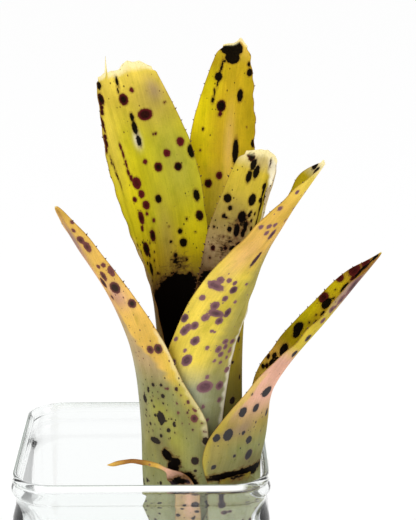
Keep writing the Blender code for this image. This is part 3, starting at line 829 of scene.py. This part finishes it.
def ring_mesh(name, rings, gap):
    """A skin over a cycle of rings of points, but capped instead of joined after ring gap."""
    bm = bmesh.new()
    rings = [[bm.verts.new(Vector(p) * MM) for p in ring] for ring in rings]
    for k, upper in enumerate(rings):
        lower = rings[(k + 1) % len(rings)]
        if k == gap:
            bm.faces.new(list(reversed(upper)))
            bm.faces.new(lower)
            continue
        for i in range(len(upper)):
            j = (i + 1) % len(upper)
            bm.faces.new((upper[i], lower[i], lower[j], upper[j]))
    return finish_mesh(name, bm)


def make_leaf(name, material, seed):
    spec, look = STATIONS[name], LOOKS[name]
    points, normals, along, across, u, v = shape_leaf(spec, look, seed)
    thick = MARGIN_THICK + (LEAF_THICK - MARGIN_THICK) * (1 - np.abs(v) ** 3)
    thick = thick * (1 - THINNING * smoothstep(THINNING_FROM, 1.0, u))
    half = normals * (thick / 2)[..., None]
    surface = np.stack([points + half, points - half]).reshape(-1, 3)

    rows, columns = u.shape[0] - 1, u.shape[1] - 1
    count = u.size
    index = np.arange(count).reshape(u.shape)
    outline = np.concatenate([index[0, :-1], index[:-1, -1], index[-1, :0:-1], index[:0:-1, 0]])
    quads = np.concatenate([
        grid_faces(rows, columns, 0, flip=False),
        grid_faces(rows, columns, count, flip=True),
        rim_faces(outline, count),
    ])
    mesh = mesh_from(name, surface, quads)

    chart = Chart(points, along, across)
    spot, tone = spot_field(all_spots(look, chart, seed + 9), along, across)
    from_tip = along[-1, 0] - along
    inside = np.stack([np.zeros_like(u), np.ones_like(u)])
    tint = np.stack([face_tint(look, face, chart, seed + 12) for face in FACES])
    tint = np.concatenate([tint, np.ones((*tint.shape[:3], 1))], axis=-1)
    place = np.stack([both(across), both(along), inside * FACE_APART], axis=-1)
    give_attribute(mesh, "tint", tint, "FLOAT_COLOR")
    give_attribute(mesh, "leaf_place", place, "FLOAT_VECTOR")
    give_attribute(mesh, "spot", both(spot))
    give_attribute(mesh, "spot_tone", both(tone))
    give_attribute(mesh, "rot_and_shade", np.stack([rot_and_shade_field(look, face, chart) for face in FACES]))
    give_attribute(mesh, "inside", inside)
    give_attribute(mesh, "margin", both(np.abs(across[:, -1:]) - np.abs(across)))
    give_attribute(mesh, "dry", both(smoothstep(look["dry_tip"] * 2, 0, from_tip + 0.05)))

    leaf = add_object(name + "_blade", mesh, material)
    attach(leaf, "root")
    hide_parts(name)
    if look["spines"]:
        make_spines(name, points, normals, along, look["spines"], seed + 20)


def unit(vector):
    return vector / (np.linalg.norm(vector) + 1e-9)


def make_spines(name, points, normals, along, spines, seed):
    """Small dark hooked spines down both margins of the blade."""
    start, end, spacing, size = spines
    rng = random.Random(seed)
    length = along[-1, 0]
    turns = [2 * math.pi * k / SPINE_SIDES for k in range(SPINE_SIDES)]
    bm = bmesh.new()
    for column, inward in ((0, 1), (-1, -2)):
        s = start * length
        while s < end * length:
            row = int(np.searchsorted(along[:, 0], s))
            root, normal = points[row, column], normals[row, column]
            outward = unit(root - points[row, inward])
            forward = unit(points[min(row + 4, len(points) - 1), column] - points[row - 4, column])
            tall = size * rng.uniform(0.7, 1.2)
            wide = tall * SPINE_SLIMNESS

            def vertex(out, ahead, lift=0.0):
                place = root + outward * out + forward * ahead + normal * lift
                return bm.verts.new(Vector(place) * MM)

            def ring(out, ahead, length_way, thick_way):
                return [vertex(out, ahead + math.cos(a) * length_way, math.sin(a) * thick_way)
                        for a in turns]

            foot = ring(-0.25, 0.0, wide * 1.3, wide * 0.6)
            middle = ring(tall * 0.5, tall * 0.25, wide * 0.6, wide * 0.3)
            tip = vertex(tall, tall * 0.7)
            bm.faces.new(list(reversed(foot)))
            for k in range(SPINE_SIDES):
                j = (k + 1) % SPINE_SIDES
                bm.faces.new((foot[k], foot[j], middle[j], middle[k]))
                bm.faces.new((middle[k], middle[j], tip))
            s += spacing * rng.uniform(0.65, 1.35)
    bmesh.ops.recalc_face_normals(bm, faces=bm.faces)
    mesh = finish_mesh(name + "_spines", bm)
    spikes = add_object(name + "_spines", mesh, MATERIALS["spine"])
    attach(spikes, "root")


# ---- Materials
class Nodes:
    """A short way to fill the node tree of a material or a world."""

    def __init__(self, owner):
        owner.use_nodes = True
        self.owner, self.tree = owner, owner.node_tree
        self.tree.nodes.clear()

    def add(self, kind, *first, **named):
        """A node, given its first inputs in order, and then settings (lower case) and inputs."""
        node = self.tree.nodes.new("ShaderNode" + kind)
        for name, value in named.items():
            if name.islower():
                setattr(node, name, value)
            else:
                self.set(node.inputs[name.replace("_", " ")], value)
        for index, value in enumerate(first):
            self.set(node.inputs[index], value)
        return node

    def set(self, socket, value):
        if isinstance(value, bpy.types.NodeSocket):
            self.tree.links.new(value, socket)
        elif socket.type == "RGBA":
            socket.default_value = (*value, 1.0)
        else:
            socket.default_value = value

    def attribute(self, name, output="Fac"):
        return self.add("Attribute", attribute_name=name).outputs[output]

    def math(self, operation, a, b):
        return self.add("Math", a, b, operation=operation).outputs[0]

    def times(self, a, b):
        return self.math("MULTIPLY", a, b)

    def plus(self, a, b, share=1.0):
        """The sum of a and that share of b."""
        return self.math("ADD", a, b if share == 1.0 else self.times(b, share))

    def remap(self, value, low, high, to_low=0.0, to_high=1.0):
        return self.add("MapRange", value, low, high, to_low, to_high,
                        interpolation_type="SMOOTHSTEP").outputs[0]

    def mix(self, factor, a, b, blend="MIX"):
        """A mix of two colours, whose sockets come after those for numbers and vectors."""
        node = self.add("Mix", factor, data_type="RGBA", blend_type=blend)
        self.set(node.inputs[6], a)
        self.set(node.inputs[7], b)
        return node.outputs[2]

    def stretched(self, vector, x, y, z=1.0):
        return self.add("VectorMath", vector, (x, y, z), operation="MULTIPLY").outputs[0]

    def noise(self, vector, scale, detail=2.0, rough=0.5):
        return self.add("TexNoise", Vector=vector, Scale=scale, Detail=detail,
                        Roughness=rough).outputs["Fac"]

    def shaders(self, factor, a, b):
        return self.add("MixShader", factor, a.outputs[0], b.outputs[0])

    def finish(self, surface, **others):
        """Joins the last shader to the output, and returns the material."""
        self.add("OutputMaterial", Surface=surface.outputs[0], **others)
        return self.owner


def new_material(name):
    return Nodes(bpy.data.materials.new(name))


def leaf_material(name, spot_codes, speckle):
    """A waxy, slightly translucent leaf: its tint, veins, spots, speckles, rot and painted deep
    shade, and dry tip.
    """
    maroon, black, faded_maroon, faded_black = (colour(code) for code in spot_codes)
    n = new_material(name)
    place = n.attribute("leaf_place", "Vector")
    inside = n.attribute("inside")

    veins = n.noise(n.stretched(place, 1.6, 0.035), 1.0, 3.0, 0.6)
    clouds = n.noise(n.stretched(place, 0.16, 0.07), 1.0, 3.0, 0.55)
    grain = n.noise(place, 1.7, 3.0, 0.6)
    shade = n.remap(veins, 0.25, 0.75, 0.93, 1.05)
    shade = n.times(shade, n.remap(clouds, 0.3, 0.7, 0.84, 1.06))
    shade = n.times(shade, n.remap(grain, 0.25, 0.75, 0.95, 1.05))
    tint = n.attribute("tint", "Color")
    base = n.add("VectorMath", tint, operation="SCALE", Scale=shade).outputs[0]
    greening = n.noise(n.stretched(place, 0.30, 0.12), 1.0, 4.0, 0.65)
    base = n.mix(n.remap(greening, 0.50, 0.72, 0.0, 0.55), base, (0.74, 0.80, 0.50), "MULTIPLY")
    base = n.mix(n.remap(greening, 0.46, 0.30, 0.0, 0.45), base, (1.06, 1.02, 0.72), "MULTIPLY")

    # Brown, then black, where the leaf rots; in the tank this is partly painted deep shade.
    rot_and_shade_breakup = n.noise(n.stretched(place, 0.35, 0.55), 1.0, 4.0, 0.65)
    rot_and_shade = n.plus(n.attribute("rot_and_shade"), n.math("SUBTRACT", rot_and_shade_breakup, 0.5), 1.5)
    base = n.mix(n.remap(rot_and_shade, 0.16, 0.55, 0.0, 0.75), base, colour("6a4a2a"))

    ragged = n.math("SUBTRACT", n.noise(place, 1.1, 3.0, 0.6), 0.5)
    spot = n.plus(n.attribute("spot"), ragged, 0.9)
    core = n.remap(spot, 0.14, -0.16)
    tone = n.plus(n.attribute("spot_tone"), ragged, 0.5)
    tone = n.remap(n.plus(tone, n.remap(spot, -0.2, -1.2, 0.0, 0.35)), 0.15, 0.85)
    fresh, faded = n.mix(tone, maroon, black), n.mix(tone, faded_maroon, faded_black)
    spot_colour = n.mix(inside, faded, fresh)
    halo = n.times(n.remap(spot, 0.75, 0.0), n.mix(inside, (0.22,) * 3, (0.45,) * 3))
    base = n.mix(halo, base, n.mix(inside, faded_maroon, maroon))
    base = n.mix(n.times(core, n.remap(grain, 0.2, 0.8, 0.97, 1.0)), base, spot_colour)

    chosen = 1.0 - 0.75 * speckle
    dots = n.add("TexVoronoi", Vector=n.stretched(place, 1.0, 0.7), Scale=0.75).outputs
    chance = n.add("SeparateColor", dots["Color"]).outputs[0]
    dot_size = n.remap(chance, chosen, 1.0, 0.0, 0.24)
    dot = n.remap(n.math("SUBTRACT", dots["Distance"], dot_size), 0.03, -0.05)
    dot = n.times(dot, n.math("GREATER_THAN", chance, chosen))
    base = n.mix(n.times(dot, 0.85), base, spot_colour)
    fleck = n.remap(n.plus(n.noise(place, 3.6, 2.0, 0.7), clouds, 0.35), 0.86, 0.93)
    base = n.mix(n.times(fleck, speckle), base, spot_colour)

    # Black where the leaf rots, and in the tank painted deep shade as well.
    base = n.mix(n.remap(rot_and_shade, 0.48, 0.66), base, colour("0c0704"))
    edge = n.remap(n.plus(n.attribute("margin"), ragged, 0.5), 0.45, 0.05)
    base = n.mix(n.times(edge, 0.45), base, colour("8a5a26"))
    dry = n.times(n.attribute("dry"), n.plus(1.0, ragged, 2.0))
    base = n.mix(n.remap(dry, 0.05, 1.0, 0.0, 0.9), base, colour("faeeb4"))
    scorched = n.times(n.remap(dry, 0.80, 1.10), n.remap(grain, 0.50, 0.70))
    base = n.mix(scorched, base, colour("9a6a34"))

    relief = n.plus(n.plus(n.times(veins, 0.8), grain, 0.35), core, -0.35)
    bump = n.add("Bump", Strength=0.22, Distance=0.0004, Height=relief).outputs[0]
    rough = n.plus(n.remap(grain, 0.2, 0.8, 0.50, 0.64), core, 0.15)
    waxy = n.add("BsdfPrincipled", Base_Color=base, Roughness=rough, Normal=bump,
                 Specular_IOR_Level=0.03)
    glow = n.add("BsdfTranslucent", Color=base, Normal=bump)
    return n.finish(n.shaders(TRANSLUCENCY, waxy, glow))


def spine_material():
    n = new_material("spine")
    grain = n.noise(n.add("TexCoord").outputs["Object"], 900.0)
    base = n.mix(n.remap(grain, 0.3, 0.7), colour("2a160c"), colour("5a3418"))
    return n.finish(n.add("BsdfPrincipled", Base_Color=base, Roughness=0.5))


def stem_material():
    """Fibrous brown stem, ringed by the scars of old leaves."""
    n = new_material("stem_fibre")
    place = n.add("TexCoord").outputs["Object"]
    fibres = n.noise(n.stretched(place, 900.0, 900.0, 90.0), 1.0, 4.0, 0.65)
    blotches = n.noise(place, 160.0, 3.0, 0.6)
    base = n.mix(n.remap(fibres, 0.3, 0.7), colour("4a3420"), colour("9a7a50"))
    base = n.mix(n.remap(blotches, 0.5, 0.7, 0.0, 0.7), base, colour("2c1e14"))
    bump = n.add("Bump", Strength=0.6, Distance=0.0006, Height=fibres).outputs[0]
    return n.finish(n.add("BsdfPrincipled", Base_Color=base, Roughness=0.85, Normal=bump))


def glass_material():
    """Clear glass, with a faint waviness; shadow rays pass it, as light does in a real jar."""
    n = new_material("clear_glass")
    place = n.add("TexCoord").outputs["Object"]
    ripple = n.noise(place, 38.0, 1.0, 0.4)
    smear = n.noise(place, 60.0, 4.0, 0.6)
    bump = n.add("Bump", Strength=0.18, Distance=0.0012, Height=ripple).outputs[0]
    glass = n.add("BsdfPrincipled", Base_Color=(0.97, 0.985, 0.98), IOR=1.5, Normal=bump,
                  Transmission_Weight=1.0, Roughness=n.remap(smear, 0.45, 0.8, 0.0, 0.02))
    clear = n.add("BsdfTransparent", Color=(0.96, 0.975, 0.97))
    rays = n.add("LightPath").outputs
    passing = n.math("MAXIMUM", rays["Is Shadow Ray"], rays["Is Diffuse Ray"])
    # Painted light on the rim: on the bead the glass is mixed toward a matt shader, white as a
    # painted highlight of the bright backdrop, and dark grey along the crest as a painted dark
    # line.
    crest = n.remap(n.attribute("crest"), 0.25, 0.6)
    painted_rim_glare = n.add("BsdfPrincipled", Roughness=0.35,
                  Base_Color=n.mix(crest, (0.95, 0.96, 0.95), (0.30, 0.34, 0.31)))
    bead = n.times(n.attribute("bead"), n.remap(smear, 0.3, 0.6, 0.70, 0.90))
    depth = n.add("VolumeAbsorption", Color=(0.76, 0.79, 0.77), Density=14.0)
    return n.finish(n.shaders(bead, n.shaders(passing, glass, clear), painted_rim_glare),
                    Volume=depth.outputs[0])


# ---- The jar
# Half widths and heights down the outside from the lip, and then up the inside from the floor.
LIP = 1.7                # radius of the bead that the rim ends in
JAR_PROFILE = [
    (JAR_HALF - LIP, JAR_HEIGHT),
    (JAR_HALF - LIP * 0.3, JAR_HEIGHT - LIP * 0.3),
    (JAR_HALF, JAR_HEIGHT - LIP),
    (JAR_HALF - LIP * 0.3, JAR_HEIGHT - LIP * 1.7),
    (JAR_HALF - LIP * 0.7, JAR_HEIGHT - LIP * 2.1),
    (JAR_HALF - LIP * 0.3, JAR_HEIGHT - LIP * 2.6),
    (JAR_HALF, JAR_HEIGHT - 6.5),
    (JAR_HALF - 0.7, JAR_HEIGHT - 8.0),
    (JAR_NECK, JAR_HEIGHT - 9.2),
    (JAR_NECK, JAR_HEIGHT - 13.0),
    (JAR_HALF - 0.8, JAR_HEIGHT - 16.5),
    (JAR_HALF, JAR_HEIGHT - 21.0),
    (JAR_HALF, 40.0),
    (JAR_HALF, 9.0),
    (JAR_HALF - 1.0, 4.5),
    (JAR_HALF - 3.4, 1.4),
    (JAR_HALF - 8.0, 0.0),
    (JAR_HALF - 14.0, 0.0),
    (JAR_INSIDE - 12.0, JAR_FLOOR),
    (JAR_INSIDE - 7.5, JAR_FLOOR),
    (JAR_INSIDE - 3.0, JAR_FLOOR + 1.2),
    (JAR_INSIDE - 0.8, JAR_FLOOR + 4.0),
    (JAR_INSIDE, JAR_FLOOR + 8.5),
    (JAR_INSIDE, 60.0),
    (JAR_INSIDE, JAR_HEIGHT - 9.0),
    (JAR_INSIDE, JAR_HEIGHT - LIP * 2.2),
    (JAR_INSIDE - LIP * 0.5, JAR_HEIGHT - LIP),
    (JAR_INSIDE, JAR_HEIGHT - LIP * 0.3),
]
UNDERSIDE_RING = 17      # the last ring of the outside, which the underside closes
CORNER_STEPS = 10


def rounded_square(half, z):
    """A ring of points round a square with round corners, all at one height."""
    corner = max(JAR_CORNER + half - JAR_HALF, 2.0)
    ring = []
    for quarter in range(4):
        turn = math.radians(90 * quarter)
        for step in range(CORNER_STEPS + 1):
            angle = math.radians(90 * step / CORNER_STEPS)
            x = half - corner + math.cos(angle) * corner
            y = half - corner + math.sin(angle) * corner
            ring.append(Vector((
                x * math.cos(turn) - y * math.sin(turn),
                x * math.sin(turn) + y * math.cos(turn),
                z,
            )))
    return ring


def bead_share(place):
    """1 on the outer side of the rim's bead and on its crest, which are painted white there, a
    painted highlight for the bright backdrop seen through the thick glass.
    """
    outside = max(abs(place.x), abs(place.y)) > JAR_HALF - LIP - 0.1
    return float(outside and place.z > JAR_HEIGHT - LIP * 1.05)


def make_jar():
    rings = [rounded_square(half, z) for half, z in JAR_PROFILE]
    mesh = ring_mesh("glass_jar", rings, UNDERSIDE_RING)
    places = [vertex.co / MM for vertex in mesh.vertices]
    give_attribute(mesh, "bead", [bead_share(p) for p in places])
    give_attribute(mesh, "crest", [float(p.z > JAR_HEIGHT - 0.1) for p in places])
    jar = add_object("glass_jar", mesh, MATERIALS["glass"])
    smooth = jar.modifiers.new("smooth", "SUBSURF")
    smooth.levels = smooth.render_levels = 2
    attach(jar, "root")
    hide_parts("jar")


# ---- The stem
STEM_ROWS, STEM_SIDES = 220, 96
SCAR_DEPTH, SCAR_SPACING = 0.35, 3.1
STEM_ROUGHNESS = 0.12


def make_stem():
    """The turned stem, with rings where old leaves have come off its foot."""
    outline = [
        (0.4, BASE_Z + 3.0), (2.6, BASE_Z + 2.2), (3.7, BASE_Z), (11.4, BASE_Z - 24.0),
        (10.5, BASE_Z - 27.0), (8.0, BASE_Z - 32.0), (7.3, STEM_FOOT + 10.0),
        (7.9, STEM_FOOT + 1.6), (6.9, STEM_FOOT),
    ]
    heights = np.linspace(outline[0][1], outline[-1][1], STEM_ROWS)
    places = [z for _, z in reversed(outline)]
    radii = np.interp(heights, places, [r for r, _ in reversed(outline)])
    bare = smoothstep(BASE_Z - 25.0, BASE_Z - 31.0, heights)
    radii = radii - bare * SCAR_DEPTH * (1 + np.sin(heights * 2 * math.pi / SCAR_SPACING))
    turn = np.linspace(0, 2 * math.pi, STEM_SIDES, endpoint=False)
    rough = waves(turn * 8, 5, 6, 0.9, 4.0)[None] * waves(heights, 6, 4, 2.0, 9.0)[:, None]
    spread = radii[:, None] + STEM_ROUGHNESS * rough * bare[:, None]
    centre_x = PLANT_X - LEAN * (JAR_HEIGHT - BASE_Z)
    points = np.stack([
        centre_x + spread * np.cos(turn),
        PLANT_Y + spread * np.sin(turn),
        np.repeat(heights[:, None], len(turn), axis=1),
    ], axis=-1)
    mesh = ring_mesh("stem_stub", points, len(points) - 1)
    stem = add_object("stem_stub", mesh, MATERIALS["stem"])
    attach(stem, "root")
    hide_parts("stem")


# ---- Stage: floor, light and camera
FLOOR_REACH = 4.0                       # metres, half the floor's side
FLOOR_GLOW = 0.88                       # how much of the floor's look, where seen, is plain white
CAMERA_PLACE = (17.1, -654.4, 337.7)    # millimetres
CAMERA_DOWN = 13.99                     # degrees
CAMERA_TURN = -0.79
CAMERA_LENS, CAMERA_SENSOR = 119.3, 36.0
LAMPS = [  # name, place and aim in metres, size, power
    ("key", (-0.9, -0.8, 1.3), (0.02, 0, 0.14), 0.9, 11.5),
    ("fill", (1.1, -0.5, 0.9), (0.02, 0, 0.14), 0.9, 5.0),
]


def make_floor():
    """A pale matt floor that shows nearly white, so that it fades into the studio."""
    mesh = bpy.data.meshes.new("floor")
    corners = [(-1, -1), (1, -1), (1, 1), (-1, 1)]
    corners = [(x * FLOOR_REACH, y * FLOOR_REACH, 0) for x, y in corners]
    mesh.from_pydata(corners, [], [(0, 1, 2, 3)])
    n = new_material("pale_floor")
    rays = n.add("LightPath").outputs
    seen = n.math("MAXIMUM", rays["Is Camera Ray"], rays["Is Transmission Ray"])
    seen = n.math("MAXIMUM", seen, rays["Is Glossy Ray"])
    matt = n.add("BsdfDiffuse", Color=(0.86, 0.86, 0.86))
    white = n.add("Emission", Color=(1, 1, 1))
    mesh.materials.append(n.finish(n.shaders(n.times(seen, FLOOR_GLOW), matt, white)))
    link(bpy.data.objects.new("floor", mesh))


def make_world():
    """Even white all round."""
    n = Nodes(bpy.data.worlds.new("studio"))
    white = n.add("Background", Color=(1, 1, 1), Strength=1.0)
    n.add("OutputWorld", Surface=white.outputs[0])
    bpy.context.scene.world = n.owner


def make_lamp(name, place, aim, size, power):
    light = bpy.data.lights.new(name, "AREA")
    light.size = size
    light.energy = power
    lamp = link(bpy.data.objects.new(name, light))
    lamp.location = place
    lamp.rotation_euler = (Vector(aim) - Vector(place)).to_track_quat("-Z", "Y").to_euler()


def make_camera():
    """Above the rim and in front, looking down at the rim through a long lens."""
    data = bpy.data.cameras.new("camera")
    data.lens, data.sensor_width = CAMERA_LENS, CAMERA_SENSOR
    camera = link(bpy.data.objects.new("camera", data))
    camera.location = Vector(CAMERA_PLACE) * MM
    camera.rotation_euler = (math.radians(90 - CAMERA_DOWN), 0, math.radians(CAMERA_TURN))
    bpy.context.scene.camera = camera


# ---- Build
MATERIALS = {"spine": spine_material(), "stem": stem_material(), "glass": glass_material()}
for number, (name, look) in enumerate(LOOKS.items(), 1):
    skin = leaf_material(name + "_skin", look["spot_codes"], look["speckle"])
    make_leaf(name, skin, seed=100 * number)
make_stem()
make_jar()

make_floor()
make_world()
for lamp in LAMPS:
    make_lamp(*lamp)
make_camera()
bpy.context.scene.view_settings.view_transform = "Standard"
